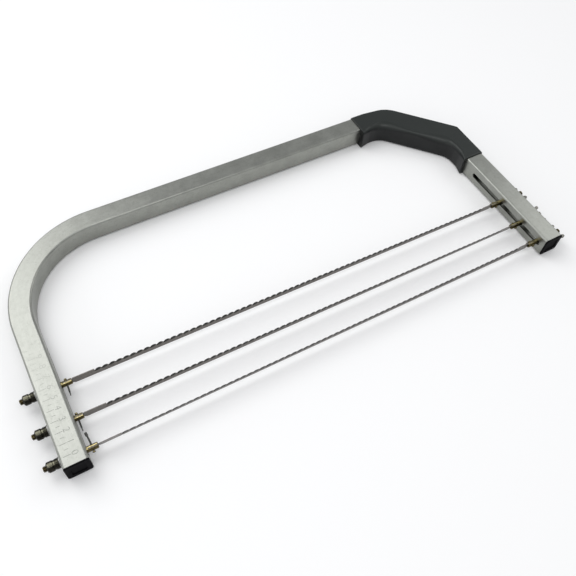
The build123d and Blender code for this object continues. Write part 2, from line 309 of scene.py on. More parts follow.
def tube_lines(look):
    """Coordinates that run across and along the bent tube, so that drawn lines follow it."""
    split = look.add("ShaderNodeSeparateXYZ", Vector=look.place)
    x, y, z = split.outputs
    centre_x = (X_LEFT + TUBE / 2 + BEND_RADIUS) * MM
    centre_y = (Y_BACK - TUBE / 2 - BEND_RADIUS) * MM
    left = look.maths("MAXIMUM", look.maths("SUBTRACT", centre_x, x), 0.0)
    up = look.maths("MAXIMUM", look.maths("SUBTRACT", y, centre_y), 0.0)
    reach = look.maths("SQRT", look.maths("ADD", look.maths("MULTIPLY", left, left),
                                          look.maths("MULTIPLY", up, up)))
    bend = look.maths("SUBTRACT", reach, BEND_RADIUS * MM)
    leg = look.maths("SUBTRACT", x, (X_RIGHT - TUBE / 2) * MM)
    across = look.maths("MAXIMUM", bend, leg)
    along = look.maths("MULTIPLY", look.maths("SUBTRACT", x, y), 0.04)
    return look.add("ShaderNodeCombineXYZ", X=across, Y=z, Z=along).outputs["Vector"]


def frame_steel():
    look = Look("frame_steel", (0.6, 0.6, 0.58), 1.0, 0.3)
    lines = look.noise(0.45, 4.0, tube_lines(look), 0.7)
    cloud = look.noise(14.0, 5.0, rough=0.6)
    speck = look.noise(1.6, 4.0, rough=0.7)
    mottle = look.noise(4.0, 3.0, rough=0.6)
    tone = look.blend(look.ramp(cloud, 0.35, 0.68, 0.0, 1.0), (0.302, 0.309, 0.284), (0.366, 0.373, 0.345))
    tone = look.blend(look.ramp(mottle, 0.48, 0.66, 0.0, 0.38), tone, (0.265, 0.273, 0.248))
    tone = look.blend(look.ramp(lines, 0.35, 0.75, 0.0, 0.45), tone, (0.262, 0.269, 0.247))
    tone = look.blend(look.ramp(speck, 0.56, 0.72, 0.0, 0.6), tone, (0.215, 0.221, 0.202))
    rough = look.ramp(look.maths("ADD", cloud, look.maths("MULTIPLY", lines, 0.5)), 0.4, 1.1, 0.27, 0.42)
    height = look.maths("ADD", lines, look.maths("MULTIPLY", speck, 0.4))
    return look.set(tone, rough).bump(height, 0.02, 0.5).material


def grip_rubber():
    """Black moulding with faint pale patches of dust, painted shade on its side faces and a painted
    highlight on its rounded upper edges.
    """
    look = Look("grip_rubber", (0.02, 0.024, 0.022), 0.0, 0.5)
    grain = look.noise(0.55, 4.0, rough=0.7)
    cloud = look.noise(16.0, 4.0)
    dust = look.noise(2.2, 6.0, rough=0.75)
    # Painted shade and painted highlight: side faces darkest, faces turned partly up paler.
    tone = look.blend(look.facing_up(0.25, 0.75), (0.0036, 0.0041, 0.0046), (0.0240, 0.0280, 0.0260))
    # Flat tops go back to a middle tone, so the painted highlight stays on the rounded edges.
    tone = look.blend(look.facing_up(0.84, 0.97), tone, (0.0155, 0.0190, 0.0175))
    tone = look.blend(look.ramp(cloud, 0.35, 0.7, 0.0, 0.3), tone, (0.018, 0.022, 0.0205))
    tone = look.blend(look.ramp(dust, 0.60, 0.76, 0.0, 0.25), tone, (0.040, 0.045, 0.042))
    rough = look.ramp(look.maths("ADD", cloud, grain), 0.7, 1.3, 0.32, 0.44)
    return look.set(tone, rough).shine(0.30).bump(grain, 0.05, 0.55).material


def plug_plastic():
    look = Look("plug_plastic", (0.005, 0.005, 0.006), 0.0, 0.5)
    grain = look.noise(0.5, 5.0, rough=0.75)
    cloud = look.noise(5.0, 3.0)
    tone = look.blend(look.ramp(cloud, 0.3, 0.7, 0.0, 1.0), (0.003, 0.003, 0.0035), (0.006, 0.006, 0.007))
    tone = look.blend(look.ramp(grain, 0.62, 0.78, 0.0, 0.4), tone, (0.018, 0.018, 0.019))
    rough = look.ramp(grain, 0.3, 0.7, 0.55, 0.75)
    return look.set(tone, rough).shine(0.04).bump(grain, 0.06, 0.6).material


def blade_steel():
    look = Look("blade_steel", (0.2, 0.2, 0.19), 1.0, 0.36)
    rolled = look.noise(0.6, 4.0, look.stretch((0.03, 1.0, 1.0)), 0.7)
    stain = look.noise(3.0, 5.0, rough=0.65)
    tone = look.blend(look.ramp(rolled, 0.3, 0.7, 0.0, 1.0), (0.126, 0.117, 0.108), (0.200, 0.188, 0.175))
    tone = look.blend(look.ramp(stain, 0.55, 0.75, 0.0, 0.5), tone, (0.085, 0.079, 0.072))
    return look.set(tone, look.ramp(stain, 0.3, 0.7, 0.30, 0.45)).bump(rolled, 0.01, 0.5).material


def ground_edge():
    """The scalloped grinding: painted shade makes it darker than the strip, with wheel marks across the
    edge.
    """
    look = Look("blade_ground_edge", (0.06, 0.06, 0.058), 1.0, 0.3)
    marks = look.noise(0.35, 3.0, look.stretch((1.0, 0.12, 0.12)), 0.6)
    stain = look.noise(2.0, 4.0)
    # Painted shade: the band's two tones are both far darker than the strip's.
    tone = look.blend(look.ramp(marks, 0.3, 0.7, 0.0, 1.0), (0.028, 0.028, 0.027), (0.060, 0.059, 0.056))
    return look.set(tone, look.ramp(stain, 0.3, 0.7, 0.26, 0.4)).bump(marks, 0.012, 0.6).material


def brass():
    """Tarnished brass, with a painted highlight along the top and painted shade on its other faces."""
    look = Look("rod_brass", (0.5, 0.42, 0.22), 1.0, 0.24)
    tarnish = look.noise(1.6, 5.0, rough=0.65)
    grime = look.noise(0.7, 4.0, rough=0.7)
    # Painted shade: the darker tarnished tones for faces that don't face up.
    tarnish_in_shade = look.blend(look.ramp(tarnish, 0.32, 0.7, 0.0, 1.0), (0.13, 0.105, 0.045), (0.05, 0.04, 0.018))
    tarnish_in_highlight = look.blend(look.ramp(tarnish, 0.32, 0.7, 0.0, 1.0), (0.50, 0.43, 0.23), (0.32, 0.27, 0.13))
    # Painted highlight where the surface faces up.
    tone = look.blend(look.facing_up(0.80, 0.98), tarnish_in_shade, tarnish_in_highlight)
    tone = look.blend(look.ramp(grime, 0.58, 0.72, 0.0, 0.7), tone, (0.07, 0.055, 0.03))
    return look.set(tone, look.ramp(tarnish, 0.3, 0.7, 0.18, 0.34)).bump(grime, 0.02, 0.4).material


def black_oxide():
    """Blackened nut steel, with a painted highlight along the top, patchy in clouds."""
    look = Look("nut_gunmetal", (0.03, 0.03, 0.025), 1.0, 0.25)
    cloud = look.noise(2.4, 5.0, rough=0.65)
    pits = look.noise(0.5, 3.0, rough=0.7)
    tone = look.blend(look.ramp(cloud, 0.32, 0.68, 0.0, 1.0), (0.012, 0.011, 0.009), (0.034, 0.032, 0.025))
    # Painted highlight: paler where the surface faces straight up.
    painted_highlight_mask = look.maths("MULTIPLY", look.facing_up(0.90, 1.0), look.ramp(cloud, 0.30, 0.55, 0.5, 1.0))
    tone = look.blend(painted_highlight_mask, tone, (0.17, 0.165, 0.12))
    tone = look.blend(look.ramp(pits, 0.60, 0.75, 0.0, 0.6), tone, (0.010, 0.010, 0.008))
    return look.set(tone, look.ramp(cloud, 0.3, 0.7, 0.20, 0.34)).bump(pits, 0.02, 0.5).material


def plated(name, dark, light, roughness, spot_size):
    """Small plated hardware: two tones in clouds, with fine pitting."""
    look = Look(name, light, 1.0, roughness)
    cloud = look.noise(spot_size, 5.0, rough=0.65)
    pits = look.noise(spot_size / 6, 3.0, rough=0.7)
    tone = look.blend(look.ramp(cloud, 0.32, 0.68, 0.0, 1.0), dark, light)
    tone = look.blend(look.ramp(pits, 0.60, 0.75, 0.0, 0.5), tone, tuple(0.5 * part for part in dark))
    rough = look.ramp(cloud, 0.3, 0.7, roughness - 0.06, roughness + 0.10)
    return look.set(tone, rough).bump(pits, 0.02, 0.5).material


def scale_ink():
    """Dark marks, paler towards the back of the leg, with patches of wear."""
    look = Look("scale_marks", (0.2, 0.2, 0.2), 1.0, 0.36)
    wear = look.noise(1.4, 5.0, rough=0.7)
    place_y = look.add("ShaderNodeSeparateXYZ", Vector=look.place).outputs["Y"]
    fade = look.ramp(place_y, (Y_END + 35.0) * MM, (Y_END + 75.0) * MM, 0.0, 1.0)
    tone = look.blend(fade, (0.130, 0.133, 0.124), (0.250, 0.255, 0.237))
    tone = look.blend(look.ramp(wear, 0.45, 0.68, 0.0, 0.8), tone, (0.27, 0.275, 0.262))
    return look.set(tone, look.ramp(wear, 0.3, 0.7, 0.32, 0.42)).bump(wear, 0.01, 0.4).material


STEEL = frame_steel()
RUBBER = grip_rubber()
PLUG = plug_plastic()
BLADE = blade_steel()
GROUND = ground_edge()
BRASS = brass()
GUNMETAL = black_oxide()
ZINC = plated("wing_zinc", (0.11, 0.108, 0.095), (0.26, 0.255, 0.23), 0.36, 1.6)
PIN = plated("pin_steel", (0.045, 0.045, 0.042), (0.095, 0.095, 0.09), 0.34, 1.5)
WASHER = plated("washer_steel", (0.24, 0.24, 0.23), (0.38, 0.38, 0.365), 0.32, 1.8)
MARKS = scale_ink()


# ---------------------------------------------------------------- carried-over CAD nodes

def finish_cad_nodes():
    for name, look in (("bow_frame", STEEL), ("left_end_plug", PLUG), ("right_end_plug", PLUG)):
        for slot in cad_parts[name].material_slots:
            slot.material = look


# ---------------------------------------------------------------- scale on the left leg

SCALE_FIRST = 8.2           # the 0 mark above the leg end
SCALE_MARKS = 10
SCALE_STEP = 10.0
LONG_MARK = (3.2, 9.3)      # from the leg's outer face
SHORT_MARK = (5.6, 8.8)
MARK_WIDTH = 0.38
MARK_PROUD = 0.03           # above the tube, and as far into it
DIGIT_MIDDLE = 12.1
DIGIT_SIZE = 7.6
DIGIT_THIN = -0.14


def add_mark(bm, span, y):
    """One line across the leg, with rounded ends, just proud of the tube."""
    radius = MARK_WIDTH / 2
    outline = []
    for x, start in ((X_LEFT + span[1] - radius, -90.0), (X_LEFT + span[0] + radius, 90.0)):
        for step in range(7):
            angle = math.radians(start + step * 30.0)
            outline.append((x + radius * math.cos(angle), y + radius * math.sin(angle)))
    rings = [[bm.verts.new((*point, Z_TOP + lift)) for point in outline]
             for lift in (-MARK_PROUD, MARK_PROUD)]
    skin(bm, rings)


def add_digit(bm, digit, y):
    """A number lying on the leg, its top towards the blades."""
    curve = bpy.data.curves.new("digit", "FONT")
    curve.body = str(digit)
    curve.size = DIGIT_SIZE
    curve.offset = DIGIT_THIN
    curve.extrude = MARK_PROUD
    curve.align_x = "CENTER"
    curve.align_y = "CENTER"
    thing = bpy.data.objects.new("digit", curve)
    bpy.context.scene.collection.objects.link(thing)
    shown = thing.evaluated_get(bpy.context.evaluated_depsgraph_get())
    mesh = bpy.data.meshes.new_from_object(shown)
    mesh.transform(frame_at((X_LEFT + DIGIT_MIDDLE, y, Z_TOP), (0, -1, 0), (0, 0, 1)))
    bm.from_mesh(mesh)
    bpy.data.objects.remove(thing)
    bpy.data.meshes.remove(mesh)


def make_scale():
    bm = bmesh.new()
    for index in range(SCALE_MARKS):
        y = Y_END + SCALE_FIRST + index * SCALE_STEP
        add_mark(bm, LONG_MARK, y)
        add_mark(bm, SHORT_MARK, y + SCALE_STEP / 2)
        add_digit(bm, index, y)
    bmesh.ops.remove_doubles(bm, verts=bm.verts, dist=0.001)
    make_piece("scale_marks", bm, [MARKS], "bow")


# ---------------------------------------------------------------- handle grip

GRIP_HAND_SIDE = 1.2        # thickness on the hand side, beside the leg
GRIP_OUTER_FLAT = 16.0      # the outer face runs true this far, then drops towards the bend
GRIP_OUTER_DROP = 3.4
GRIP_OUTER_ON_BAR = 54.6    # where the diagonal starts, from the leg's outer face
GRIP_OUTER_ON_LEG = 168.3   # and where it ends, above the leg end
GRIP_INNER_ON_BAR = 73.9
GRIP_INNER_ON_LEG = 149.3
GRIP_INNER_WALL = 4.2
GRIP_LIP = 2.8
GRIP_LIP_LENGTH = 11.0
CHAMFER_ON_BAR = 56.0       # corners of the tube's centreline inside the grip
CHAMFER_ON_LEG = 60.0
CHAMFER_BEND_RADIUS = 50.0
GRIP_OUTER_EDGE = 2.4       # rounding of the edges on the far side
GRIP_UNDER_EDGE = 3.0       # and of the lower edge on the hand side
GRIP_END_EDGE = 0.9         # rounding of the two open ends
GRIP_DROP_ROUND = 60.0      # corners of the plan on the far side
GRIP_OUTER_ROUND = 30.0
GRIP_LEG_ROUND = 4.0
GRIP_LIP_ROUND = 14.0       # and on the hand side
GRIP_INNER_ROUND = 20.0
GRIP_ARC_STEPS = 16
GRIP_STATIONS = 96
GRIP_END_STATIONS = (0.35, 0.12, 0.04)      # extra ones in each rounded end, as shares of it
FLAT_PLACES = (0.04, 0.3, 0.5, 0.7, 0.96)   # points along the flats of a section
# Corners of the far path and the hand path that face each other, end to end.
FAR_KNOTS = (0, 2, 3, 4)
HAND_KNOTS = (0, 2, 3, 5)
# Rounding of the upper edge on the hand side: how far it reaches over the top and down the side, at
# the bar end (0), the first bend (1), the second bend (2), the leg end (3) and places between.
GRIP_HAND_EDGE = ((0.0, 2.6, 3.0), (0.5, 5.4, 5.2), (0.95, 8.6, 7.6), (1.45, 3.4, 3.6), (1.85, 8.4, 7.2),
                  (2.1, 5.0, 4.8), (2.5, 4.5, 4.5), (3.0, 2.4, 2.8))


def hand_edge(knot):
    """Reach of the hand-side rounding, over the top and down the side."""
    for first, second in zip(GRIP_HAND_EDGE, GRIP_HAND_EDGE[1:]):
        if knot <= second[0]:
            share = smooth_step((knot - first[0]) / (second[0] - first[0]))
            return [low + (high - low) * share for low, high in zip(first[1:], second[1:])]
    return GRIP_HAND_EDGE[-1][1:]


def corner_arc(centre, reach, start, steps=9):
    """Quarter of an ellipse in a section, from the start angle in degrees."""
    angles = [math.radians(start + 90.0 * step / steps) for step in range(steps + 1)]
    return [(centre[0] + reach[0] * math.cos(angle), centre[1] + reach[1] * math.sin(angle))
            for angle in angles]


def section(width, height, hand, far, inset):
    """Rounded box section, counter-clockwise: (distance from the hand side, height)."""
    low, high, near, wide = inset, height - inset, inset, width - inset
    over, down = hand
    under = min(GRIP_UNDER_EDGE, over, down)
    arcs = [
        corner_arc((near + under, low + under), (under, under), 180.0),
        corner_arc((wide - far, low + far), (far, far), 270.0),
        corner_arc((wide - far, high - far), (far, far), 0.0),
        corner_arc((near + over, high - down), (over, down), 90.0),
    ]
    points = []
    for arc, following in zip(arcs, arcs[1:] + arcs[:1]):
        points += arc
        start, end = Vector(arc[-1]), Vector(following[0])
        points += [tuple(start.lerp(end, share)) for share in FLAT_PLACES]
    return points


def ring_between(bm, hand_point, far_point, points, base):
    """Section points stood up between two points of the plan."""
    outward = (far_point - hand_point).normalized()
    ring = []
    for distance, height in points:
        spot = hand_point + outward * distance
        ring.append(bm.verts.new((spot.x, spot.y, base + height)))
    return ring


def make_grip():
    """Sleeve over the tube: sections stood across it from the bar end to the leg end."""
    outer_x, outer_y = GRIP_HIGH.x, GRIP_HIGH.y
    left_x, low_y = GRIP_LOW.x, GRIP_LOW.y
    hand_y = Y_BACK - TUBE - GRIP_INNER_WALL
    hand_x = X_RIGHT - TUBE - GRIP_HAND_SIDE
    height = GRIP_HIGH.z - GRIP_LOW.z
    far_path = rounded_path(
        [(left_x, outer_y), (left_x + GRIP_OUTER_FLAT, outer_y),
         (X_RIGHT - GRIP_OUTER_ON_BAR, outer_y - GRIP_OUTER_DROP),
         (outer_x, Y_END + GRIP_OUTER_ON_LEG), (outer_x, low_y)],
        [GRIP_DROP_ROUND, GRIP_OUTER_ROUND, GRIP_LEG_ROUND], GRIP_ARC_STEPS)
    hand_path = rounded_path(
        [(left_x, hand_y - GRIP_LIP), (left_x + GRIP_LIP_LENGTH, hand_y),
         (X_RIGHT - GRIP_INNER_ON_BAR, hand_y), (hand_x, Y_END + GRIP_INNER_ON_LEG),
         (hand_x, low_y + GRIP_LIP_LENGTH), (hand_x - GRIP_LIP, low_y)],
        [GRIP_LIP_ROUND, GRIP_INNER_ROUND, GRIP_INNER_ROUND, GRIP_LIP_ROUND], GRIP_ARC_STEPS)
    bar, leg = Y_BACK - TUBE / 2, X_RIGHT - TUBE / 2
    tube_path = rounded_path(
        [(left_x, bar), (leg - CHAMFER_ON_BAR, bar), (leg, bar - CHAMFER_ON_LEG), (leg, low_y)],
        [CHAMFER_BEND_RADIUS, CHAMFER_BEND_RADIUS], GRIP_ARC_STEPS)
    marks = [[far_path[2][index] for index in FAR_KNOTS],
             [hand_path[2][index] for index in HAND_KNOTS], tube_path[2]]
    knots = [3.0 * index / GRIP_STATIONS for index in range(GRIP_STATIONS + 1)]
    end_span = marks[0][1] - marks[0][0]
    knots += [GRIP_END_EDGE * share / end_span for share in GRIP_END_STATIONS]
    knots += [3.0 - GRIP_END_EDGE * share / end_span for share in GRIP_END_STATIONS]
    bm = bmesh.new()
    shell, bore = [], []
    for knot in sorted(knots):
        leg_index = min(int(knot), 2)
        share = knot - leg_index
        spots = []
        for path, places in zip((far_path, hand_path, tube_path), marks):
            length = places[leg_index] + (places[leg_index + 1] - places[leg_index]) * share
            spots.append(along_path(path, length))
        (far_point, _), (hand_point, _), (tube_point, heading) = spots
        from_end = min(knot, 3.0 - knot) * end_span / GRIP_END_EDGE
        inset = GRIP_END_EDGE * (1 - math.sqrt(1 - (1 - min(from_end, 1.0)) ** 2))
        width = (far_point - hand_point).length
        outline = section(width, height, hand_edge(knot), GRIP_OUTER_EDGE, inset)
        shell.append(ring_between(bm, hand_point, far_point, outline, GRIP_LOW.z))
        side = Vector((-heading.y, heading.x, 0.0)) * TUBE / 2
        hole = section(TUBE, TUBE, (TUBE_CORNER, TUBE_CORNER), TUBE_CORNER, 0.0)
        bore.append(ring_between(bm, tube_point - side, tube_point + side, hole, Z_UNDER))
    skin(bm, shell + bore[::-1], closed=True)
    make_piece("grip_sleeve", bm, [RUBBER], "bow", "handle_grip", sharp=50.0)


# ---------------------------------------------------------------- blades

BLADE_WIDTH = 7.2
BLADE_THICK = 0.6
EDGE_THICK = 0.08
TANG_WIDTH = 4.4
TANG_PAST_PIN = 2.4
TANG_STEP = 1.0             # length of the shoulder on the toothed edge
TANG_TAPER = 2.5            # and on the plain edge
PIN_FROM_ROD_END = 4.8
PIN_DIAMETER = 1.5
TOOTH_PITCH = 6.0
TOOTH_DEPTH = 1.9
TOOTH_BELOW = 0.4           # tops of the teeth below the strip's plain edge
TOOTH_VALLEY = 0.3          # flat between two teeth
GRIND_DEPTH = 2.7           # width of the ground band on a tooth
GRIND_SHARE = 0.74          # part of the pitch that the grinding takes up
GRIND_INSET = 0.25          # depth of the band in a valley
GRIND_START = 1.1           # the band narrows along each tooth, from this share of its depth
GRIND_LOSS = 0.6            # by this much
STEPS_PER_TOOTH = 12
LEFT_PLAIN = 24.0           # toothless length beside each rod
RIGHT_PLAIN = 16.0
TANG_HOLE_GAP = 0.1


def across(tilt):
    """Directions across the strip: along its width and square to its face."""
    angle = math.radians(tilt)
    return (Vector((0, math.cos(angle), math.sin(angle))),
            Vector((0, -math.sin(angle), math.cos(angle))))


def tooth_height(phase):
    """Height of a rounded tooth above the valleys, from one valley (0) to the next (1)."""
    chord = TOOTH_PITCH - TOOTH_VALLEY
    radius = (chord ** 2 / 4 + TOOTH_DEPTH ** 2) / (2 * TOOTH_DEPTH)
    offset = (phase - 0.5) * TOOTH_PITCH
    return max(math.sqrt(radius ** 2 - offset ** 2) - radius + TOOTH_DEPTH, 0.0)


def strip_edges(x, length, first_tooth, last_tooth):
    """Lower edge, start of the grinding and upper edge of the strip at a place along it."""
    half, tang = BLADE_WIDTH / 2, TANG_WIDTH / 2
    from_end = min(x - PIN_FROM_ROD_END, length - PIN_FROM_ROD_END - x)
    lower = -tang - (half - tang) * smooth_step(from_end / TANG_TAPER)
    upper = tang + (half - tang) * smooth_step(from_end / TANG_STEP)
    grind = upper
    if first_tooth <= x <= last_tooth:
        phase = (x - first_tooth) / TOOTH_PITCH % 1.0
        height = tooth_height(phase)
        upper = half - TOOTH_BELOW - TOOTH_DEPTH + height
        narrowing = GRIND_START - GRIND_LOSS * phase
        grind = upper - GRIND_INSET - GRIND_DEPTH * height / TOOTH_DEPTH * narrowing
    return lower, grind, upper


def make_blade(name):
    left_tilt, right_tilt = BLADES[name][:2]
    left, right = node_middle(name + "_left_pin"), node_middle(name + "_right_pin")
    left_rod, right_rod = node_middle(name + "_left_rod"), node_middle(name + "_right_rod")
    left.y, right.y, left.z, right.z = left_rod.y, right_rod.y, Z_MID, Z_MID
    left.x = node_box(name + "_left_rod")[1].x - PIN_FROM_ROD_END
    right.x = node_box(name + "_right_rod")[0].x + PIN_FROM_ROD_END
    length = (right - left).length
    teeth = int((length - LEFT_PLAIN - RIGHT_PLAIN) / TOOTH_PITCH)
    first_tooth, last_tooth = LEFT_PLAIN, LEFT_PLAIN + teeth * TOOTH_PITCH
    step = TOOTH_PITCH / STEPS_PER_TOOTH
    count = int((length + TANG_PAST_PIN - first_tooth) / step)
    before = int((first_tooth + TANG_PAST_PIN) / step)
    places = [first_tooth + index * step for index in range(-before, count + 1)]
    places = [-TANG_PAST_PIN] + places + [length + TANG_PAST_PIN]
    bm = bmesh.new()
    rings = []
    for x in places:
        share = x / length
        width_dir, face_dir = across(left_tilt + (right_tilt - left_tilt) * share)
        lower, grind, upper = strip_edges(x, length, first_tooth, last_tooth)
        edge = EDGE_THICK if first_tooth <= x <= last_tooth else BLADE_THICK
        spot = left.lerp(right, share)
        half = BLADE_THICK / 2
        ring = []
        for v, n in ((lower, half), (grind, half), (upper, edge - half), (upper, -half), (lower, -half)):
            ring.append(bm.verts.new(spot + width_dir * v + face_dir * n))
        rings.append(ring)
    skin(bm, rings)
    bm.faces.ensure_lookup_table()
    for index, x in enumerate(places[:-1]):
        toothed = first_tooth <= x < last_tooth
        phase = (x - first_tooth) / TOOTH_PITCH % 1.0
        if toothed and phase < GRIND_SHARE:
            bm.faces[index * 5 + 1].material_index = 1
    for spot, tilt in ((left, left_tilt), (right, right_tilt)):
        _, face_dir = across(tilt)
        hole = drill(frame_at(spot, face_dir, (1, 0, 0)), PIN_DIAMETER / 2 + TANG_HOLE_GAP, 4.0)
        bm = combine(bm, hole, "DIFFERENCE")
    make_piece(name + "_scalloped_blade", bm, [BLADE, GROUND], name + "_carriage",
               name + "_blade", sharp=20.0)


# ---------------------------------------------------------------- studs, pins, washers and nuts

ROD_RADIUS = 2.5
THREAD_PITCH = 0.8
THREAD_DEPTH = 0.42
ROD_CHAMFER = 0.5
FORK_DEPTH = 8.0
FORK_GAP = 1.0
PIN_HOLE_GAP = 0.05
THREAD_STOP_LEFT = 4.0      # the left thread stops this far before the leg's inner face
THREAD_STOP_RIGHT = 2.0
SLOT_SPARE = 2.0            # the slot's cutter starts this far beyond the stud
SMALL_SIDES = 48


def make_rod(name, end):
    """Stud with a rolled thread up to the leg, a plain end, a fork slot and a pin hole."""
    node = name + "_" + end + "_rod"
    low, high = node_box(node)
    middle = (low + high) / 2
    outward = -1 if end == "left" else 1
    outer, inner = (low.x, high.x) if end == "left" else (high.x, low.x)
    if end == "left":
        thread_end = X_LEFT + TUBE - THREAD_STOP_LEFT
    else:
        thread_end = X_RIGHT - TUBE + THREAD_STOP_RIGHT
    tilt = BLADES[name][0 if end == "left" else 1]

    def relief(x, angle):
        depth = THREAD_DEPTH * smooth_step(outward * (x - thread_end) / THREAD_PITCH)
        phase = x / THREAD_PITCH + angle / (2 * math.pi)
        return -depth * (0.5 - 0.5 * math.cos(2 * math.pi * phase))

    profile = [(outer, ROD_RADIUS - ROD_CHAMFER)]
    steps = int(abs(inner - outer) / (THREAD_PITCH / 8))
    for index in range(steps + 1):
        x = outer + (inner - outer) * index / steps
        from_end = min(abs(x - outer), abs(x - inner))
        profile.append((x, ROD_RADIUS - max(ROD_CHAMFER - from_end, 0.0)))
    profile = profile[1:]
    bm = bmesh.new()
    lathe(bm, Matrix.Translation((0, middle.y, middle.z)), profile, SMALL_SIDES, relief)
    _, face_dir = across(tilt)
    slot_middle = (inner + outward * (FORK_DEPTH - SLOT_SPARE) / 2, middle.y, middle.z)
    slot_size = (FORK_DEPTH + SLOT_SPARE, 3 * ROD_RADIUS, FORK_GAP)
    slot = block(frame_at(slot_middle, (1, 0, 0), face_dir), slot_size)
    bm = combine(bm, slot, "DIFFERENCE")
    pin_spot = (inner + outward * PIN_FROM_ROD_END, middle.y, middle.z)
    hole = drill(frame_at(pin_spot, face_dir, (1, 0, 0)), PIN_DIAMETER / 2 + PIN_HOLE_GAP, 4 * ROD_RADIUS)
    bm = combine(bm, hole, "DIFFERENCE")
    make_piece(node + "_threaded", bm, [BRASS], name + "_carriage", node, sharp=40.0)


TAIL_REACH = 12.9           # from the rod axis to the tip of the tab
TAIL_RADIUS = 0.68
TAIL_BEND_START = ROD_RADIUS + 0.5
TAIL_BEND_POWER = 1.6
TAIL_STEPS = 40
TAIL_SIDES = 24
TAIL_THINS_AT = 3.0         # the shank thins to the tail from here, over this length
TAIL_THINS_OVER = 2
TAB_LENGTH = 3.4
TAB_HALF_WIDTH = 1.1
TAB_HALF_THICK = 0.42
TAB_FLATTENS_BEFORE = 0.6   # the tail starts to flatten this far before the tab
TAB_FLATTENS_OVER = 1.6
TAB_TIP = 0.7               # length of the rounded tip
# Head and shank of the tail pin: distance from the rod axis and radius
TAIL_PROFILE = ((-4.3, 0.75), (-4.15, 1.05), (-3.9, 1.2), (-3.3, 1.2), (-3.1, 1.1), (-3.1, 0.75))


def make_tail_pin(name):
    """Locking pin: round head, shank through the fork, and a tail that ends in a flat tab."""
    tilt, _, side, lies_flat, lean, _ = BLADES[name]
    node = name + "_left_pin"
    spot = node_middle(name + "_left_rod")
    spot.x = node_box(name + "_left_rod")[1].x - PIN_FROM_ROD_END
    _, face_dir = across(tilt)
    tail_dir = face_dir * (-side)
    flat_dir = Vector((1, 0, 0)).cross(tail_dir)
    head_base = TAIL_PROFILE[-1][0]

    def line(reach):
        bent = max(reach - TAIL_BEND_START, 0.0) / (TAIL_REACH - TAIL_BEND_START)
        return spot + tail_dir * reach - Vector((lean * bent ** TAIL_BEND_POWER, 0, 0))

    stations = [(reach, radius, radius) for reach, radius in TAIL_PROFILE]
    for index in range(1, TAIL_STEPS + 1):
        reach = head_base + (TAIL_REACH - head_base) * index / TAIL_STEPS
        flat = smooth_step((reach - TAIL_REACH + TAB_LENGTH + TAB_FLATTENS_BEFORE) / TAB_FLATTENS_OVER)
        tip = max(reach - TAIL_REACH + TAB_TIP, 0.0) / TAB_TIP
        close = math.sqrt(1 - 0.75 * tip * tip)
        shank = PIN_DIAMETER / 2 - (PIN_DIAMETER / 2 - TAIL_RADIUS) * smooth_step(
            (reach - TAIL_THINS_AT) / TAIL_THINS_OVER)
        wide = (shank + (TAB_HALF_WIDTH - shank) * flat) * close
        thick = (shank + (TAB_HALF_THICK - shank) * flat) * close
        stations.append((reach, wide, thick) if lies_flat else (reach, thick, wide))
    bm = bmesh.new()
    rings = []
    for reach, across_x, across_z in stations:
        heading = (line(reach + 0.1) - line(reach - 0.1)).normalized()
        side_dir = flat_dir.cross(heading)
        ring = []
        for index in range(TAIL_SIDES):
            angle = 2 * math.pi * index / TAIL_SIDES
            ring.append(bm.verts.new(line(reach) + side_dir * (across_x * math.cos(angle))
                                     + flat_dir * (across_z * math.sin(angle))))
        rings.append(ring)
    skin(bm, rings)
    head_end = spot.dot(tail_dir) + head_base + 0.05
    for face in bm.faces:
        if face.calc_center_median().dot(tail_dir) < head_end:
            face.material_index = 1
    make_piece(name + "_tail_pin", bm, [PIN, BRASS], name + "_carriage", node, sharp=45.0)


RIVET_HEAD_RADIUS = 1.5
RIVET_BASE = 3.3            # the shank's far end, from the rod axis
RIVET_SEAT = ROD_RADIUS + 0.1
RIVET_DOME_START = ROD_RADIUS + 0.45
RIVET_DOME = 0.75


def make_rivet_pin(name):
    """Right-hand pin: shank through the fork with a domed head."""
    node = name + "_right_pin"
    spot = node_middle(name + "_right_rod")
    spot.x = node_box(name + "_right_rod")[0].x + PIN_FROM_ROD_END
    _, face_dir = across(BLADES[name][1])
    shank, head = PIN_DIAMETER / 2, RIVET_HEAD_RADIUS
    profile = [(-RIVET_BASE, shank - 0.25), (-RIVET_BASE + 0.15, shank), (RIVET_SEAT, shank),
               (RIVET_SEAT, head - 0.15), (RIVET_SEAT + 0.1, head), (RIVET_DOME_START, head)]
    for step in range(1, 8):
        angle = math.radians(90.0 * step / 8)
        profile.append((RIVET_DOME_START + RIVET_DOME * math.sin(angle), head * math.cos(angle)))
    bm = bmesh.new()
    lathe(bm, frame_at(spot, face_dir, (1, 0, 0)), profile, 32)
    make_piece(name + "_rivet_pin", bm, [BRASS], name + "_carriage", node)


WASHER_BORE = ROD_RADIUS + 0.1
WASHER_EDGE = 0.18


def make_washer(name, end):
    """Flat washer with softened edges."""
    node = name + "_" + end + "_washer"
    low, high = node_box(node)
    middle = (low + high) / 2
    outer, bore, edge = (high.y - low.y) / 2, WASHER_BORE, WASHER_EDGE
    profile = [(low.x, bore + edge), (low.x, outer - edge), (low.x + edge / 2, outer - edge / 4),
               (low.x + edge, outer), (high.x - edge, outer), (high.x - edge / 2, outer - edge / 4),
               (high.x, outer - edge), (high.x, bore + edge), (high.x - edge, bore), (low.x + edge, bore)]
    bm = bmesh.new()
    lathe(bm, Matrix.Translation((0, middle.y, middle.z)), profile, 64, closed=True)
    make_piece(node + "_chamfered", bm, [WASHER], name + "_carriage", node, sharp=30.0)


